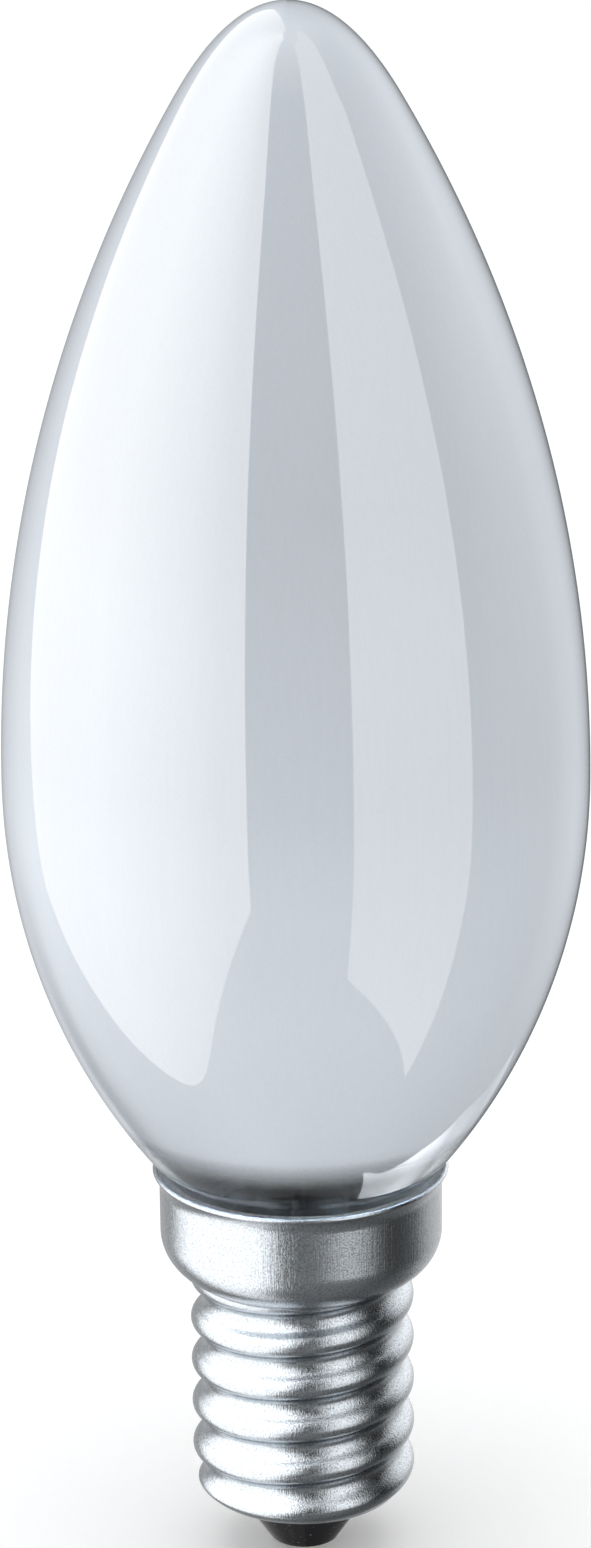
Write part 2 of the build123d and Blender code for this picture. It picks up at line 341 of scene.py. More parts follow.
def noise(tree, where, grain, detail=3.0, rough=0.55):
    """Noise with grains about this size, in metres."""
    texture = tree.nodes.new("ShaderNodeTexNoise")
    texture.inputs["Scale"].default_value = 1.0 / grain
    texture.inputs["Detail"].default_value = detail
    texture.inputs["Roughness"].default_value = rough
    tree.links.new(where, texture.inputs["Vector"])
    return texture.outputs["Fac"]


def spread(tree, value, low, high, to_low, to_high, smooth=False):
    """Maps one range of a value to another, and stays within it."""
    node = tree.nodes.new("ShaderNodeMapRange")
    node.interpolation_type = "SMOOTHSTEP" if smooth else "LINEAR"
    node.clamp = True
    for socket, number in zip(node.inputs[1:5], (low, high, to_low, to_high)):
        socket.default_value = number
    tree.links.new(value, node.inputs["Value"])
    return node.outputs["Result"]


def ranged(tree, grains, low, high):
    """Maps a noise to a range."""
    return spread(tree, grains, NOISE_LOW, NOISE_HIGH, low, high)


def joined(tree, first, second, operation="ADD"):
    """Joins two values, by adding them unless another operation is given."""
    node = tree.nodes.new("ShaderNodeMath")
    node.operation = operation
    for socket, value in zip(node.inputs, (first, second)):
        if isinstance(value, (int, float)):
            socket.default_value = value
        else:
            tree.links.new(value, socket)
    return node.outputs["Value"]


def ramp(tree, value, stops):
    """Colour that follows a value through (place, colour) stops."""
    node = tree.nodes.new("ShaderNodeValToRGB")
    elements = node.color_ramp.elements
    while len(elements) < len(stops):
        elements.new(0.5)
    for element, (where, tint) in zip(elements, stops):
        element.position = where
        element.color = (*tint, 1.0)
    tree.links.new(value, node.inputs["Fac"])
    return node.outputs["Color"]


def weathered(tree, shader, grains, stops, roughness):
    """Lets the colour and the roughness follow a noise."""
    tree.links.new(ramp(tree, grains, stops), shader.inputs["Base Color"])
    tree.links.new(ranged(tree, grains, *roughness), shader.inputs["Roughness"])


def bump(tree, shader, height, distance, strength=1.0):
    """Raises the surface by a value, over this distance in metres."""
    node = tree.nodes.new("ShaderNodeBump")
    node.inputs["Strength"].default_value = strength
    node.inputs["Distance"].default_value = distance
    tree.links.new(height, node.inputs["Height"])
    tree.links.new(node.outputs["Normal"], shader.inputs["Normal"])


def shaded(tree, tint, shade):
    """A colour made darker by a shade."""
    node = tree.nodes.new("ShaderNodeMix")
    node.data_type = "RGBA"
    node.blend_type = "MULTIPLY"
    node.inputs["Factor"].default_value = 1.0
    tree.links.new(tint, node.inputs[MIX_FIRST])
    tree.links.new(shade, node.inputs[MIX_SECOND])
    return node.outputs[MIX_RESULT]


def grey(level):
    """A neutral shade."""
    return (level, level, level)


def scaled(tint, factor):
    """A colour made lighter or darker."""
    return tuple(min(1.0, channel * factor) for channel in tint)


def frosted_glass(glass):
    """Glass etched inside: pale, fading to clear just above the cap, with painted light that makes it
    lighter low down and darker towards the crown.
    """
    material, tree, shader = finish("frosted_glass", glass.frost, roughness=0.04)
    where = place(tree)
    height = tree.nodes.new("ShaderNodeSeparateXYZ")
    tree.links.new(where, height.inputs["Vector"])
    ragged = ranged(tree, noise(tree, where, grain=0.15 * MM, detail=3.0), -0.06 * MM, 0.06 * MM)
    level = joined(tree, height.outputs["Z"], ragged)
    fade_start = glass.rim + glass.clear_height
    frosting = spread(tree, level, fade_start, fade_start + glass.fade_height, 0.0, 0.5, smooth=True)
    # Painted light: the frosting's colour is lighter below the widest place and darker towards the crown,
    # standing in for light from below.
    painted_light_below = spread(tree, height.outputs["Z"], glass.widest - 10 * MM, glass.widest + 20 * MM, 0.0, 0.45)
    toned = joined(tree, frosting, painted_light_below)
    stops = (
        (0.0, glass.clear),
        (0.3, scaled(glass.frost, 0.98)),
        (0.5, scaled(glass.frost, 1.22)),
        (0.6, scaled(glass.frost, 1.17)),
        (0.7, scaled(glass.frost, 1.06)),
        (0.95, scaled(glass.frost, 0.96)),
    )
    etching = noise(tree, where, grain=0.12 * MM, detail=3.0, rough=0.6)
    drawn = place(tree, stretch=(1.0, 1.0, 0.03))
    streaks = noise(tree, drawn, grain=0.3 * MM, detail=2.0)
    mottle = joined(tree, etching, joined(tree, streaks, 0.4, "MULTIPLY"))
    shade = ramp(tree, spread(tree, mottle, 0.4, 1.0, 0.0, 1.0), ((0.0, grey(0.94)), (1.0, grey(1.0))))
    tree.links.new(shaded(tree, ramp(tree, toned, stops), shade), shader.inputs["Base Color"])
    tree.links.new(spread(tree, frosting, 0.0, 0.42, 1.0, 0.0), shader.inputs["Transmission Weight"])
    polish = ranged(tree, noise(tree, where, grain=6.0 * MM, detail=2.0), 0.02, 0.06)
    tree.links.new(polish, shader.inputs["Roughness"])
    shader.inputs["IOR"].default_value = 1.5
    tree.links.new(spread(tree, frosting, 0.0, 0.5, 0.0, glass.gloss), shader.inputs["Coat Weight"])
    shader.inputs["Coat Roughness"].default_value = 0.02
    shader.inputs["Coat IOR"].default_value = 1.9
    bump(tree, shader, noise(tree, where, grain=5.0 * MM, detail=1.0), distance=0.02 * MM)
    return material


def rolled_metal(cap):
    """Bright sheet metal with a speckled grain and fine lines drawn along the axis."""
    material, tree, shader = finish("rolled_metal", cap.metal, roughness=0.28, metallic=1.0)
    where = place(tree)
    drawn = place(tree, stretch=(1.0, 1.0, 0.04))
    grain = noise(tree, where, grain=0.11 * MM, detail=4.0, rough=0.65)
    lines = noise(tree, drawn, grain=0.09 * MM, detail=3.0, rough=0.6)
    clouds = noise(tree, where, grain=2.2 * MM, detail=3.0)
    tint = ramp(tree, grain, ((0.35, cap.dull), (0.5, cap.metal), (0.68, scaled(cap.metal, 1.1))))
    tree.links.new(tint, shader.inputs["Base Color"])
    fine_wear = ranged(tree, grain, 0.08, 0.15)
    broad_wear = ranged(tree, clouds, -0.02, 0.04)
    tree.links.new(joined(tree, fine_wear, broad_wear), shader.inputs["Roughness"])
    relief = joined(tree, grain, joined(tree, lines, 1.4, "MULTIPLY"))
    bump(tree, shader, relief, distance=0.01 * MM)
    return material


def black_glass(button):
    """Glossy black glass with pale specks in its skin."""
    material, tree, shader = finish("black_glass", button.black, roughness=0.1)
    where = place(tree)
    specks = noise(tree, where, grain=0.16 * MM, detail=2.0, rough=0.5)
    tint = ramp(tree, specks, ((0.0, button.black), (0.70, button.black), (0.76, button.specks)))
    tree.links.new(tint, shader.inputs["Base Color"])
    tree.links.new(spread(tree, specks, 0.5, 0.75, 0.05, 0.3), shader.inputs["Roughness"])
    ripple = noise(tree, where, grain=0.9 * MM, detail=3.0)
    relief = joined(tree, ripple, joined(tree, specks, 0.2, "MULTIPLY"))
    bump(tree, shader, relief, distance=0.03 * MM, strength=0.6)
    return material


def stamped_brass(contact):
    """Thin stamped plate, a little tarnished."""
    material, tree, shader = finish("stamped_brass", contact.brass, roughness=0.3, metallic=1.0)
    where = place(tree)
    tarnish = noise(tree, where, grain=0.5 * MM, detail=5.0, rough=0.6)
    stops = ((0.35, scaled(contact.brass, 0.6)), (0.6, contact.brass))
    weathered(tree, shader, tarnish, stops, roughness=(0.45, 0.22))
    bump(tree, shader, noise(tree, where, grain=0.08 * MM, detail=3.0), distance=0.006 * MM)
    return material


def dull_solder(contact):
    """Solder that set with a frosted, slightly wrinkled skin."""
    material, tree, shader = finish("dull_solder", contact.solder, roughness=0.35, metallic=1.0)
    where = place(tree)
    crystals = noise(tree, where, grain=0.18 * MM, detail=5.0, rough=0.6)
    stops = ((0.35, scaled(contact.solder, 0.75)), (0.62, contact.solder))
    weathered(tree, shader, crystals, stops, roughness=(0.5, 0.26))
    bump(tree, shader, crystals, distance=0.03 * MM)
    return material


def drawn_glass(mount):
    """Clear drawn glass of the stem."""
    material, tree, shader = finish("drawn_glass", mount.stem, roughness=0.02)
    where = place(tree, stretch=(1.0, 1.0, 0.15))
    streaks = noise(tree, where, grain=0.7 * MM, detail=3.0)
    stops = ((0.3, scaled(mount.stem, 0.92)), (0.7, mount.stem))
    weathered(tree, shader, streaks, stops, roughness=(0.01, 0.06))
    shader.inputs["Transmission Weight"].default_value = 1.0
    shader.inputs["IOR"].default_value = 1.5
    bump(tree, shader, streaks, distance=0.03 * MM)
    return material


def drawn_wire(name, tint, grain):
    """Drawn metal wire with fine lines and patches of oxide."""
    material, tree, shader = finish(name, tint, roughness=0.35, metallic=1.0)
    where = place(tree)
    oxide = noise(tree, where, grain=grain, detail=4.0, rough=0.6)
    stops = ((0.3, scaled(tint, 0.6)), (0.7, scaled(tint, 1.2)))
    weathered(tree, shader, oxide, stops, roughness=(0.45, 0.28))
    bump(tree, shader, noise(tree, where, grain=grain / 5, detail=2.0), distance=0.01 * MM)
    return material


def baked_cement(mount):
    """Grainy baked cement."""
    material, tree, shader = finish("baked_cement", mount.cement, roughness=0.85)
    where = place(tree)
    grains = noise(tree, where, grain=0.25 * MM, detail=6.0, rough=0.65)
    stops = ((0.3, scaled(mount.cement, 0.6)), (0.5, mount.cement), (0.75, scaled(mount.cement, 1.4)))
    weathered(tree, shader, grains, stops, roughness=(0.95, 0.75))
    bump(tree, shader, grains, distance=0.08 * MM)
    return material


# Glass envelope

# Rings along each stretch of the outline.
NECK_STEPS, BELLY_STEPS, SHOULDER_STEPS, CROWN_STEPS = 8, 56, 64, 28


def glass_outline(glass, inset):
    """Half outline of the glass from the neck's end up to the crown, moved in from the outside."""
    belly_radius, belly_turn = arc_over(glass.widest - glass.rim, glass.radius - glass.rim_radius)
    shoulder = glass.tip - glass.crown_height - glass.widest
    shoulder_radius, shoulder_turn = arc_over(shoulder, glass.radius - glass.crown_radius)
    blend = (glass.rim_radius - glass.neck_radius) / (1 - math.cos(belly_turn))
    neck_top = glass.rim - blend * math.sin(belly_turn)
    neck = glass.neck_radius - inset
    blend_centre = (glass.neck_radius + blend, neck_top)
    belly_centre = (glass.radius - belly_radius, glass.widest)
    shoulder_centre = (glass.radius - shoulder_radius, glass.widest)
    outline = [(neck, glass.neck_end), (neck, (glass.neck_end + neck_top) / 2)]
    outline += arc(blend_centre, blend + inset, math.pi, math.pi - belly_turn, NECK_STEPS)[:-1]
    outline += arc(belly_centre, belly_radius - inset, -belly_turn, 0.0, BELLY_STEPS)[:-1]
    outline += arc(shoulder_centre, shoulder_radius - inset, 0.0, shoulder_turn, SHOULDER_STEPS)[:-1]
    start = Vector(arc(shoulder_centre, shoulder_radius - inset, 0.0, shoulder_turn, 1)[-1])
    top = glass.tip - inset
    pull = Vector((start.x - (top - start.y) * math.tan(shoulder_turn), top))
    peak = Vector((0, top))
    for step in range(CROWN_STEPS):
        along = step / CROWN_STEPS
        rest = 1 - along
        outline.append(tuple(rest**2 * start + 2 * along * rest * pull + along**2 * peak))
    return outline


class BuildGlass(bpy.types.Operator):
    """Builds the glass envelope"""

    bl_idname = "candle_bulb.glass"
    bl_label = "Glass envelope"

    def execute(self, context):
        glass = context.scene.candle_glass
        outside = glass_outline(glass, 0.0)
        inside = glass_outline(glass, glass.wall)
        rings = plain_rings(outside[::-1] + inside, glass.around)
        envelope = ringed_piece("glass_bulb", rings, (0, 0, glass.tip), (0, 0, glass.tip - glass.wall))
        stand_in(envelope, "glass_envelope", frosted_glass(glass))
        return {"FINISHED"}


# Screw cap

# Rings along the lip's flare and round its edge.
FLARE_STEPS, EDGE_STEPS = 8, 10


def thread_reach(cap, direction, height, inset):
    """Radius of the thread at a place, moved in from the outside. Its profile is equal arcs out and in."""
    pitch, depth = cap.thread_pitch, cap.thread_depth
    rise = (height - cap.end - pitch * (direction - cap.thread_start) / (2 * math.pi)) % pitch
    rounding = depth / 4 + pitch**2 / (16 * depth)
    from_crest = min(rise, pitch - rise)
    if from_crest <= pitch / 4 * (rounding - inset) / rounding:
        return cap.thread_radius - rounding + math.sqrt((rounding - inset) ** 2 - from_crest**2)
    from_root = pitch / 2 - from_crest
    return cap.thread_radius - depth + rounding - math.sqrt((rounding + inset) ** 2 - from_root**2)


def thread_ring(cap, height, inset, join=None, plain=0.0):
    """Ring of the thread at a height, joined softly to a plain radius where there is a join."""

    def reach(direction):
        radius = thread_reach(cap, direction, height, inset)
        return join(plain, radius, cap.softness) if join else radius

    return ring(reach, height, cap.around)


def cap_side(cap, inset, thread_rows, corner_rows):
    """Rings of one side of the sheet, from the hole at the lower end up to the skirt's wall."""
    base = cap.end + cap.thread_length
    end = cap.end + inset
    corner = cap.end_corner - inset
    flat = cap.thread_radius + cap.sheet - cap.end_corner
    skirt_flat = cap.skirt_radius - cap.skirt_corner
    skirt_corner = cap.skirt_corner - inset
    rings = plain_rings([(cap.hole_radius, end)], cap.around)
    for row in range(corner_rows):
        angle = math.pi / 2 * row / corner_rows
        height = end + corner * (1 - math.cos(angle))
        rounded = flat + corner * math.sin(angle)
        rings.append(thread_ring(cap, height, inset, soft_lower, rounded))
    start, stop = end + corner, base + inset
    for row in range(thread_rows):
        height = start + (stop - start) * row / thread_rows
        rings.append(thread_ring(cap, height, inset))
    for row in range(corner_rows + 1):
        angle = math.pi / 2 * row / corner_rows
        height = stop + skirt_corner * (1 - math.cos(angle))
        skirt = skirt_flat + skirt_corner * math.sin(angle)
        rings.append(thread_ring(cap, height, inset, soft_higher, skirt))
    return rings


def lip_outline(cap):
    """Outline of the flared lip, from the outside of the skirt over its rounded edge to the inside."""
    half = cap.sheet / 2
    flare = cap.lip_radius - cap.skirt_radius
    lean = 2 * math.atan(flare / (cap.lip_height - half))
    start = cap.rim - cap.lip_height
    edge = Vector((cap.lip_radius - half, cap.rim - half))
    across = Vector((half * math.cos(lean), -half * math.sin(lean)))

    def flared(radius, end):
        points = []
        for step in range(FLARE_STEPS + 1):
            along = step / FLARE_STEPS
            points.append((radius + (end.x - radius) * along**2, start + (end.y - start) * along))
        return points

    outside = flared(cap.skirt_radius, edge + across)
    inside = flared(cap.skirt_radius - cap.sheet, edge - across)
    return outside + arc(edge, half, -lean, math.pi - lean, EDGE_STEPS)[1:-1] + inside[::-1]


class BuildCap(bpy.types.Operator):
    """Builds the rolled screw cap"""

    bl_idname = "candle_bulb.cap"
    bl_label = "Screw cap"

    def execute(self, context):
        cap = context.scene.candle_cap
        rings = cap_side(cap, 0.0, thread_rows=110, corner_rows=22)
        rings += plain_rings(lip_outline(cap), cap.around)
        rings += cap_side(cap, cap.sheet, thread_rows=70, corner_rows=12)[::-1]
        shell = ringed_piece("cap_shell", rings, sharp=60.0)
        stand_in(shell, "screw_shell", rolled_metal(cap))
        return {"FINISHED"}


# Insulator

# Rings round each rounding and along the sloping side.
ROUNDING_STEPS, SIDE_STEPS = 8, 7


def button_outline(button):
    """Half outline of the insulator, from the lead hole in its lower face round to the one in its top."""
    shoulder_edge = Vector((button.shoulder_radius, button.shoulder))
    lean = math.atan2(button.shoulder - button.bottom, button.shoulder_radius - button.tip_radius)
    tangent = button.rounding * math.tan(lean / 2)
    centre = (button.tip_radius - tangent, button.bottom + button.rounding)
    plug_floor = button.shoulder + button.seat_depth
    plug_centre = (button.plug_radius - button.plug_corner, plug_floor + button.plug_corner)
    seat = button.bottom + button.seat_depth
    outline = [(button.hole_radius, seat), (button.seat_radius, seat), (button.seat_radius, button.bottom)]
    outline += arc(centre, button.rounding, -math.pi / 2, lean - math.pi / 2, ROUNDING_STEPS)
    low = Vector(outline[-1])
    for step in range(1, SIDE_STEPS):
        outline.append(tuple(low.lerp(shoulder_edge, step / SIDE_STEPS)))
    outline += [tuple(shoulder_edge), (button.shoulder_radius, plug_floor)]
    outline += arc(plug_centre, button.plug_corner, -math.pi / 2, 0.0, ROUNDING_STEPS)
    outline += [(button.plug_radius, button.top), (button.hole_radius, button.top)]
    return outline


class BuildButton(bpy.types.Operator):
    """Builds the black glass insulator"""

    bl_idname = "candle_bulb.button"
    bl_label = "Insulator"

    def execute(self, context):
        button = context.scene.candle_button
        rings = plain_rings(button_outline(button), button.around)
        piece = ringed_piece("insulator_button", rings, sharp=50.0)
        stand_in(piece, "insulator", black_glass(button))
        return {"FINISHED"}


# Contact and solder

# Rings up the drop of solder and faces around it.
SOLDER_ROWS, SOLDER_AROUND = 14, 72


def solder_rings(contact):
    """Rings of a drop of solder with a slightly uneven edge, hollowed towards its foot."""

    def uneven(direction):
        return 0.94 + 0.035 * math.sin(3 * direction + 1) + 0.025 * math.sin(5 * direction)

    rings = []
    for row in range(1, SOLDER_ROWS + 1):
        along = row / SOLDER_ROWS
        reach = contact.flat_radius + (contact.solder_radius - contact.flat_radius) * along
        height = contact.solder_height * along**2.2
        rings.append(ring(lambda at, reach=reach: reach * uneven(at), height, SOLDER_AROUND))
    return rings


class BuildContact(bpy.types.Operator):
    """Builds the solder under the contact and finishes the plate and the solder at the rim"""

    bl_idname = "candle_bulb.contact"
    bl_label = "Centre contact"

    def execute(self, context):
        contact = context.scene.candle_contact
        solder = dull_solder(contact)
        top = (0, 0, contact.solder_height)
        tip = ringed_piece("solder_tip", solder_rings(contact), (0, 0, 0), top, sharp=50.0)
        stand_in(tip, "tip_solder", solder)
        refinish("rim_solder", solder)
        refinish("centre_contact", stamped_brass(contact))
        return {"FINISHED"}


# Stem, wires and filament

STEPS_PER_TURN = 14


class BuildMount(bpy.types.Operator):
    """Winds the filament and finishes the stem, the wires and the cement"""

    bl_idname = "candle_bulb.mount"
    bl_label = "Stem and filament"

    def execute(self, context):
        mount = context.scene.candle_mount
        piece = filament_coil(mount)
        stand_in(piece, "filament", drawn_wire("wound_tungsten", mount.tungsten, 0.1 * MM))
        wire = drawn_wire("drawn_wire", mount.wire, 0.4 * MM)
        for node in WIRES:
            refinish(node, wire)
        refinish("stem_glass", drawn_glass(mount))
        refinish("capping_cement", baked_cement(mount))
        return {"FINISHED"}


def filament_coil(mount):
    """Wire wound in a coil along an arch between the leads."""
    steps = mount.coil_turns * STEPS_PER_TURN
    wound = mount.coil_radius - mount.wire_radius
    arch_radius, half_turn = arc_over(mount.spread, mount.filament_arch)
    arch_centre = mount.filament_height + mount.filament_arch - arch_radius
    across = Vector((math.cos(mount.direction), math.sin(mount.direction), 0))
    beside = Vector((-across.y, across.x, 0))
    line = bpy.data.curves.new("filament_line", "CURVE")
    line.dimensions = "3D"
    line.bevel_depth = mount.wire_radius
    line.bevel_resolution = 1
    line.use_fill_caps = True
    spline = line.splines.new("POLY")
    spline.points.add(steps)
    for step, point in enumerate(spline.points):
        along = half_turn * (2 * step / steps - 1)
        out = across * math.sin(along) + Vector((0, 0, math.cos(along)))
        angle = 2 * math.pi * step / STEPS_PER_TURN
        place_on_coil = (
            Vector((0, 0, arch_centre))
            + out * (arch_radius + wound * math.cos(angle))
            + beside * wound * math.sin(angle)
        )
        point.co = (*place_on_coil, 1.0)
    carrier = bpy.data.objects.new("filament_line", line)
    mesh = bpy.data.meshes.new_from_object(carrier)
    bpy.data.objects.remove(carrier)
    bpy.data.curves.remove(line)
    mesh.name = "filament_coil"
    mesh.materials.clear()
    mesh.shade_smooth()
    return new_object("filament_coil", mesh)


# Stage

# What the gloss shows around the bulb. Azimuths run from the camera's side round to the right, elevations
# up from level, both in degrees. Each row gives the glow at one elevation, at stops of azimuth.
AROUND_GLASS = {
    -60: {-180: 0.0, -130: 0.02, -112: 0.16, -60: 0.2, -18: 0.08, 22: 0.0, 110: 0.0, 155: 0.1, 180: 0.1},
    -43: {
        -180: 0.05, -150: 0.04, -141: 0.08, -132: 0.35, -120: 0.56, -60: 0.5, -18: 0.1, 22: 0.04,
        75: 0.04, 115: 0.11, 128: 0.22, 150: 0.31, 165: 0.14, 180: 0.1,
    },
    -36: {
        -180: 0.5, -158: 0.65, -150: 0.2, -143: 0.15, -134: 0.6, -120: 0.75, -60: 0.6, -18: 0.1, 22: 0.05,
        75: 0.05, 115: 0.15, 128: 0.3, 150: 0.4, 165: 0.15, 180: 0.1,
    },
    -20: {
        -180: 0.35, -165: 0.5, -157: 0.65, -149: 0.75, -140: 0.9, -124: 1.3, -100: 1.3, -18: 0.2,
        22: 0.15, 75: 0.15, 100: 0.25, 115: 0.35, 128: 0.6, 140: 0.7, 150: 0.55, 158: 0.4, 165: 0.15,
        180: 0.1,
    },
    15: {
        -180: 0.3, -160: 0.4, -148: 0.6, -135: 1.0, -100: 1.2, -18: 0.04, 22: 0.04, 75: 0.3, 100: 0.8,
        125: 1.15, 140: 0.95, 150: 0.6, 160: 0.25, 180: 0.1,
    },
    55: {-180: 0.5, -160: 1.2, -100: 1.4, -18: 0.12, 22: 0.12, 75: 0.45, 130: 0.75, 160: 0.5, 180: 0.5},
    82: {-180: 0.9, -100: 1.3, -18: 0.9, 22: 0.9, 75: 1.0, 180: 0.9},
}
AROUND_CAP = {
    -70: {-180: 0.2, 60: 0.2, 100: 0.12, 180: 0.12},
    -30: {-180: 0.5, -145: 0.6, -120: 0.3, -20: 0.28, 50: 0.25, 80: 0.05, 125: 0.25, 180: 0.4},
    10: {-180: 0.5, -145: 0.5, -125: 0.1, 50: 0.1, 80: 0.03, 100: 0.05, 125: 0.3, 180: 0.5},
}

# A bright panel in front of the surroundings: the azimuths of its side edges at stops of elevation, the
# elevation of its lower edge at both ends and of its upper edge, its glow at stops of azimuth, the share of
# it that is left at stops of elevation, and how far its lower edge sags between the ends.
Panel = namedtuple("Panel", "left right low high glow share sag", defaults=(0,))
GLASS_PANELS = {
    "softbox": Panel(
        left={-24: -120, -18: -121, 0: -131, 18: -138, 26: -146, 32: -158, 45: -167},
        right={-26: -18, 45: -21, 60: -26, 80: -38},
        low=(-24, -26),
        sag=33,
        high=86,
        glow={-170: 1.9, -124: 2.14, -103: 2.6, -82: 2.9, -66: 2.7, -45: 2.26, -29: 1.7, -18: 1.58},
        share={-58: 0.36, -30: 0.68, 0: 1.0, 60: 0.97, 80: 0.82},
    ),
    "card_right": Panel(
        left={45: 21.5, 60: 24, 75: 32},
        right={50: 70.5, 60: 78, 66: 88, 72: 100, 80: 125},
        low=(-40, -57),
        high=80,
        glow={20: 1.15},
        share={-57: 0.62, -25: 0.68, 0: 1.0},
    ),
    "card_low": Panel(
        left={-72: 110, -66: 121, -61: 125, -55: 129, -49: 134, -45: 136, -38: 145, -33: 149},
        right={-72: 185},
        low=(-72, -60),
        high=-33,
        glow={110: 0.82, 136: 0.78, 143: 0.98, 150: 1.2, 157: 0.95, 163: 0.45, 180: 0.25},
        share={-72: 4.2, -56: 4.2, -50: 2.2, -46: 0.8, -38: 0.45, -33: 0.65},
    ),
}
CAP_PANELS = {
    "cap_softbox": Panel(
        left={-45: -114, -25: -121, 0: -130, 15: -142},
        right={-65: -48, -45: -26, -25: -23, 0: -12, 42: -13, 70: -15},
        low=(-78, -78),
        high=86,
        glow={-140: 1.4, -118: 1.75, -60: 1.9, -30: 1.8, -11: 1.7},
        share={-75: 0.5, -50: 0.9, -25: 0.98, -5: 1.05, 15: 1.3},
    ),
    "cap_card": Panel(
        left={-30: 22, 0: 18, 60: 18},
        right={-10: 57, 0: 60, 20: 62, 40: 66, 60: 80, 75: 100},
        low=(-30, -30),
        high=78,
        glow={18: 0.8, 28: 1.5, 42: 1.8, 50: 1.45, 58: 0.75, 80: 0.75},
        share={-30: 0.3, -20: 0.65, 5: 0.9, 30: 1.0},
    ),
    "cap_glow_right": Panel(
        left={-40: 121, -25: 116, 0: 102, 20: 106, 40: 120},
        right={-40: 176, 40: 176},
        low=(-42, -42),
        high=48,
        glow={102: 0.7, 150: 1.0},
        share={-40: 0.35, -20: 0.5, 0: 1.1, 15: 1.3},
    ),
}

# Steps of the surroundings in degrees, the height near a pole at which they end, and the faces of a panel.
GRID_STEP, NEAR_POLE = 3, 89.9
PANEL_COLUMNS, PANEL_ROWS = 48, 36
# How far each sheet stands out, as a share of the panels' distance.
SURROUNDINGS_OUT, CAP_SURROUNDINGS_OUT, CAP_PANELS_OUT = 1.1, 0.9, 0.8


def level_at(stops, where):
    """Level at a place between stops, or at the nearest one."""
    pairs = list(stops.items())
    for (first, low), (second, high) in zip(pairs, pairs[1:]):
        if first <= where <= second:
            return low + (high - low) * (where - first) / (second - first)
    return pairs[0][1] if where < pairs[0][0] else pairs[-1][1]


def outward(azimuth, elevation):
    """Direction from the bulb, from angles in degrees."""
    level = math.cos(math.radians(elevation))
    side, front = math.sin(math.radians(azimuth)), math.cos(math.radians(azimuth))
    return Vector((side * level, -front * level, math.sin(math.radians(elevation))))


def glowing_sheet(stage, name, grid, distance, material, lit):
    """Sheet that only the gloss of the lit pieces shows, from lines of (azimuth, elevation, glow)."""
    centre = Vector((0, 0, stage.camera_height))
    form = bmesh.new()
    glow_layer = form.verts.layers.float.new("glow")
    lines = []
    for line in grid:
        points = []
        for azimuth, elevation, glow in line:
            vertex = form.verts.new(centre + outward(azimuth, elevation) * distance)
            vertex[glow_layer] = glow
            points.append(vertex)
        lines.append(points)
    for left, right in zip(lines, lines[1:]):
        for step in range(len(left) - 1):
            form.faces.new((left[step], right[step], right[step + 1], left[step + 1]))
    mesh = bpy.data.meshes.new(name)
    form.to_mesh(mesh)
    form.free()
    mesh.shade_smooth()
    mesh.materials.append(material)
    sheet = new_object(name, mesh)
    sheet.visible_camera = False
    sheet.visible_diffuse = False
    sheet.visible_transmission = False
    sheet.visible_volume_scatter = False
    sheet.visible_shadow = False
    sheet.light_linking.receiver_collection = lit


def surroundings_grid(rows):
    """Closed grid of glow all round the bulb, from rows of the surroundings."""
    grid = []
    for azimuth in range(-180, 181, GRID_STEP):
        stops = {elevation: level_at(row, azimuth) for elevation, row in rows.items()}
        line = []
        for height in range(-90, 91, GRID_STEP):
            line.append((azimuth, max(-NEAR_POLE, min(NEAR_POLE, height)), level_at(stops, height)))
        grid.append(line)
    return grid


def panel_grid(panel):
    """Grid of glow over one bright panel."""
    grid = []
    for column in range(PANEL_COLUMNS + 1):
        along = column / PANEL_COLUMNS
        lowest = panel.low[0] + (panel.low[1] - panel.low[0]) * along
        lowest -= panel.sag * math.sin(math.pi * along)
        line = []
        for row in range(PANEL_ROWS + 1):
            elevation = lowest + (panel.high - lowest) * row / PANEL_ROWS
            left, right = level_at(panel.left, elevation), level_at(panel.right, elevation)
            azimuth = left + (right - left) * along
            glow = level_at(panel.glow, azimuth) * level_at(panel.share, elevation)
            line.append((azimuth, elevation, glow))
        grid.append(line)
    return grid


def panel_glow(name, tint, see_through):
    """Light of a panel, as bright as its glow says. A see-through one adds to what is behind it."""
    material = bpy.data.materials.new(name)
    material.use_nodes = True
    tree = material.node_tree
    tree.nodes.clear()
    glow = tree.nodes.new("ShaderNodeAttribute")
    glow.attribute_name = "glow"
    light = tree.nodes.new("ShaderNodeEmission")
    light.inputs["Color"].default_value = (*tint, 1.0)
    output = tree.nodes.new("ShaderNodeOutputMaterial")
    tree.links.new(glow.outputs["Fac"], light.inputs["Strength"])
    surface = light.outputs["Emission"]
    if see_through:
        clear = tree.nodes.new("ShaderNodeBsdfTransparent")
        both = tree.nodes.new("ShaderNodeAddShader")
        tree.links.new(surface, both.inputs[0])
        tree.links.new(clear.outputs["BSDF"], both.inputs[1])
        surface = both.outputs["Shader"]
    tree.links.new(surface, output.inputs["Surface"])
    return material


def lit_pieces(name, pieces):
    """Group of pieces that one set of panels lights."""
    group = bpy.data.collections.new(name)
    for piece in pieces:
        group.objects.link(piece)
    return group


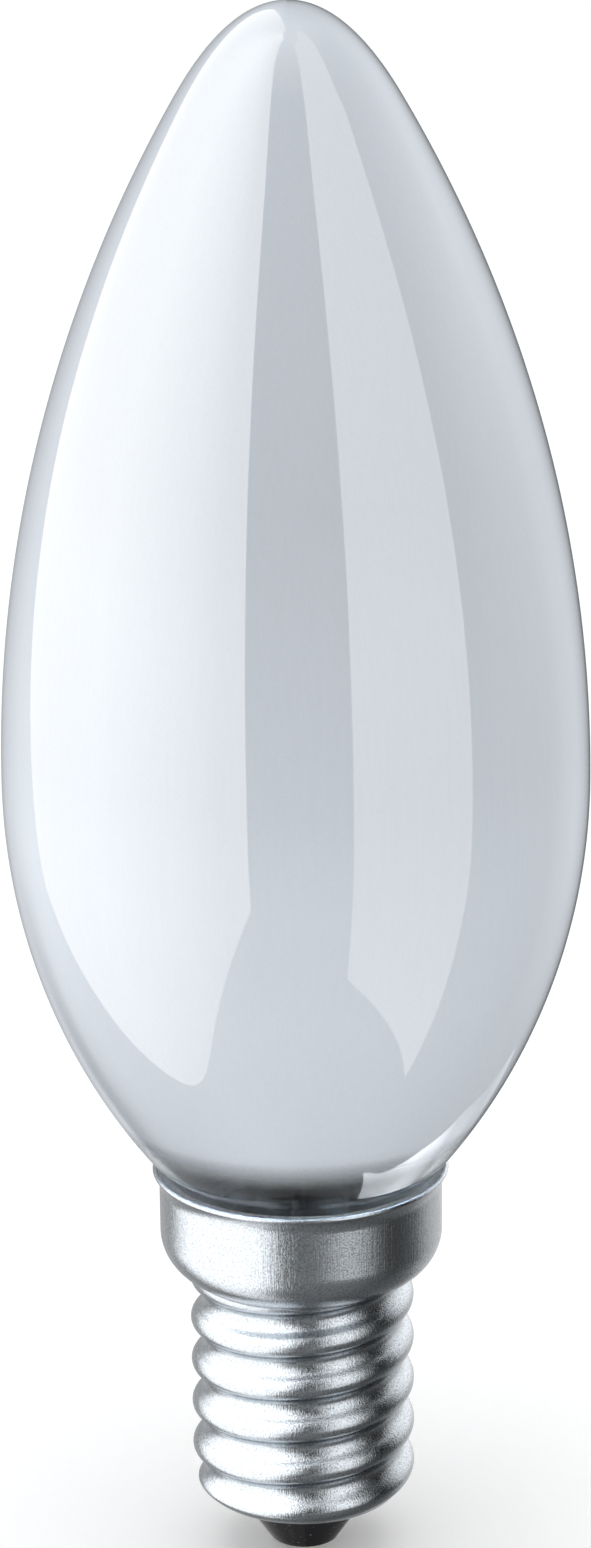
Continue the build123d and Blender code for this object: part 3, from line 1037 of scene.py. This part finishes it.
def mirrored_panels(stage):
    """Panels and surroundings that the gloss shows, one set for the glass and one for the cap."""
    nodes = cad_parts
    cap_pieces = [bpy.data.objects[name] for name in ("cap_shell", "insulator_button", "solder_tip")]
    cap_pieces += [nodes["centre_contact"], nodes["rim_solder"]]
    glass_pieces = [bpy.data.objects[name] for name in ("glass_bulb", "filament_coil")]
    glass_pieces += [nodes[name] for name in ("stem_glass", *WIRES, "capping_cement")]
    cap_lit = lit_pieces("lit_cap", cap_pieces)
    glass_lit = lit_pieces("lit_glass", glass_pieces)
    solid = panel_glow("panel_glow", grey(1.0), False)
    cool = panel_glow("panel_glow_cool", stage.cool_tint, False)
    added = panel_glow("panel_glow_added", grey(1.0), True)
    far = stage.panel_distance
    around = surroundings_grid(AROUND_GLASS)
    glowing_sheet(stage, "surroundings", around, far * SURROUNDINGS_OUT, cool, glass_lit)
    around = surroundings_grid(AROUND_CAP)
    glowing_sheet(stage, "cap_surroundings", around, far * CAP_SURROUNDINGS_OUT, added, cap_lit)
    for name, panel in GLASS_PANELS.items():
        glow = cool if name == "card_low" else solid
        glowing_sheet(stage, name, panel_grid(panel), far, glow, glass_lit)
    for name, panel in CAP_PANELS.items():
        glowing_sheet(stage, name, panel_grid(panel), far * CAP_PANELS_OUT, added, cap_lit)


def seen_plainly(tree):
    """One where a surface is seen, mirrored or looked through, and nothing where it only lights others."""
    path = tree.nodes.new("ShaderNodeLightPath")
    seen = joined(tree, path.outputs["Is Camera Ray"], path.outputs["Is Glossy Ray"], "MAXIMUM")
    return joined(tree, seen, path.outputs["Is Transmission Ray"], "MAXIMUM")


def pale_floor(stage):
    """Plain floor, a little brighter to the camera so that it looks white around the shadow."""
    material, tree, shader = finish("pale_floor", stage.floor_colour, roughness=0.9)
    where = place(tree)
    tone = ramp(
        tree,
        noise(tree, where, grain=0.4, detail=2.0),
        ((0.3, scaled(stage.floor_colour, 0.99)), (0.7, stage.floor_colour)),
    )
    tree.links.new(tone, shader.inputs["Base Color"])
    shader.inputs["Specular IOR Level"].default_value = 0.0
    shader.inputs["Emission Color"].default_value = (1.0, 1.0, 1.0, 1.0)
    glow = spread(tree, seen_plainly(tree), 0.0, 1.0, 0.0, stage.floor_glow)
    tree.links.new(glow, shader.inputs["Emission Strength"])
    mesh = bpy.data.meshes.new("floor")
    half = stage.floor_size / 2
    corners = [(-half, -half, 0), (half, -half, 0), (half, half, 0), (-half, half, 0)]
    mesh.from_pydata(corners, [], [(0, 1, 2, 3)])
    mesh.materials.append(material)
    floor = new_object("floor", mesh)
    floor.visible_glossy = False


def white_world(stage):
    """Even light from all sides, which is white where it is seen, mirrored or looked through."""
    world = bpy.data.worlds.new("white_world")
    world.use_nodes = True
    tree = world.node_tree
    sky = tree.nodes["Background"]
    sky.inputs["Color"].default_value = (1.0, 1.0, 1.0, 1.0)
    tree.links.new(spread(tree, seen_plainly(tree), 0.0, 1.0, stage.dome, 1.0), sky.inputs["Strength"])
    bpy.context.scene.world = world


def soft_light(name, power, size, location, target):
    """Large square lamp that lights the diffuse surfaces and isn't mirrored."""
    lamp = bpy.data.lights.new(name, "AREA")
    lamp.energy = power
    lamp.size = size
    light = new_object(name, lamp)
    light.location = location
    light.rotation_euler = (Vector(target) - Vector(location)).to_track_quat("-Z", "Y").to_euler()
    light.visible_glossy = False


# Radius of the lamp inside the bulb, and its height above the point that the camera looks at.
SOAKED_RADIUS, SOAKED_RISE = 8 * MM, 10 * MM


def soaked_light(stage):
    """Stands for the light that soaks through the frosting and fills the bulb."""
    lamp = bpy.data.lights.new("soaked_light", "POINT")
    lamp.energy = stage.soaked
    lamp.shadow_soft_size = SOAKED_RADIUS
    light = new_object("soaked_light", lamp)
    light.location = (0, 0, stage.camera_height + SOAKED_RISE)
    light.visible_glossy = False
    light.visible_transmission = False


def photo_camera(stage):
    """Camera at the photograph's view."""
    view = bpy.data.cameras.new("camera")
    view.lens = stage.lens
    view.clip_start = 0.01
    camera = new_object("camera", view)
    look_down = Matrix.Rotation(math.pi / 2 - stage.camera_elevation, 4, "X")
    roll = Matrix.Rotation(-stage.camera_roll, 4, "Z")
    aim = Vector((stage.camera_aside, 0, stage.camera_height))
    back = Vector((0, -math.cos(stage.camera_elevation), math.sin(stage.camera_elevation)))
    camera.matrix_world = Matrix.Translation(aim + back * stage.camera_distance) @ look_down @ roll
    bpy.context.scene.camera = camera


class BuildStage(bpy.types.Operator):
    """Sets up the floor, the light and the camera"""

    bl_idname = "candle_bulb.stage"
    bl_label = "Stage"

    def execute(self, context):
        stage = context.scene.candle_stage
        context.scene.view_settings.view_transform = "Standard"
        pale_floor(stage)
        white_world(stage)
        middle = (0, 0, stage.camera_height)
        soft_light("overhead", stage.overhead, size=1.2, location=(0, 0, 1.25), target=middle)
        soft_light("side", stage.side, size=0.8, location=(-0.7, -0.8, 0.1), target=middle)
        soaked_light(stage)
        mirrored_panels(stage)
        photo_camera(stage)
        return {"FINISHED"}


# Add-on

STEPS = (BuildGlass, BuildCap, BuildButton, BuildContact, BuildMount, BuildStage)
SETTINGS = {
    "candle_glass": GlassSettings,
    "candle_cap": CapSettings,
    "candle_button": ButtonSettings,
    "candle_contact": ContactSettings,
    "candle_mount": MountSettings,
    "candle_stage": StageSettings,
}


class CandleBulbPanel(bpy.types.Panel):
    """Lists the pieces of the bulb with their sizes and colours"""

    bl_idname = "VIEW3D_PT_candle_bulb"
    bl_label = "Candle bulb"
    bl_space_type = "VIEW_3D"
    bl_region_type = "UI"
    bl_category = "Candle bulb"

    def draw(self, context):
        for step, settings in zip(STEPS, SETTINGS):
            box = self.layout.box()
            box.operator(step.bl_idname)
            group = getattr(context.scene, settings)
            for name in group.__annotations__:
                box.prop(group, name)


CLASSES = (*SETTINGS.values(), *STEPS, CandleBulbPanel)


def register():
    for item in CLASSES:
        bpy.utils.register_class(item)
    for name, group in SETTINGS.items():
        setattr(bpy.types.Scene, name, PointerProperty(type=group))


def unregister():
    for name in SETTINGS:
        delattr(bpy.types.Scene, name)
    for item in reversed(CLASSES):
        bpy.utils.unregister_class(item)


def main():
    register()
    bpy.ops.candle_bulb.glass()
    bpy.ops.candle_bulb.cap()
    bpy.ops.candle_bulb.button()
    bpy.ops.candle_bulb.contact()
    bpy.ops.candle_bulb.mount()
    bpy.ops.candle_bulb.stage()


if __name__ == "__main__":
    main()
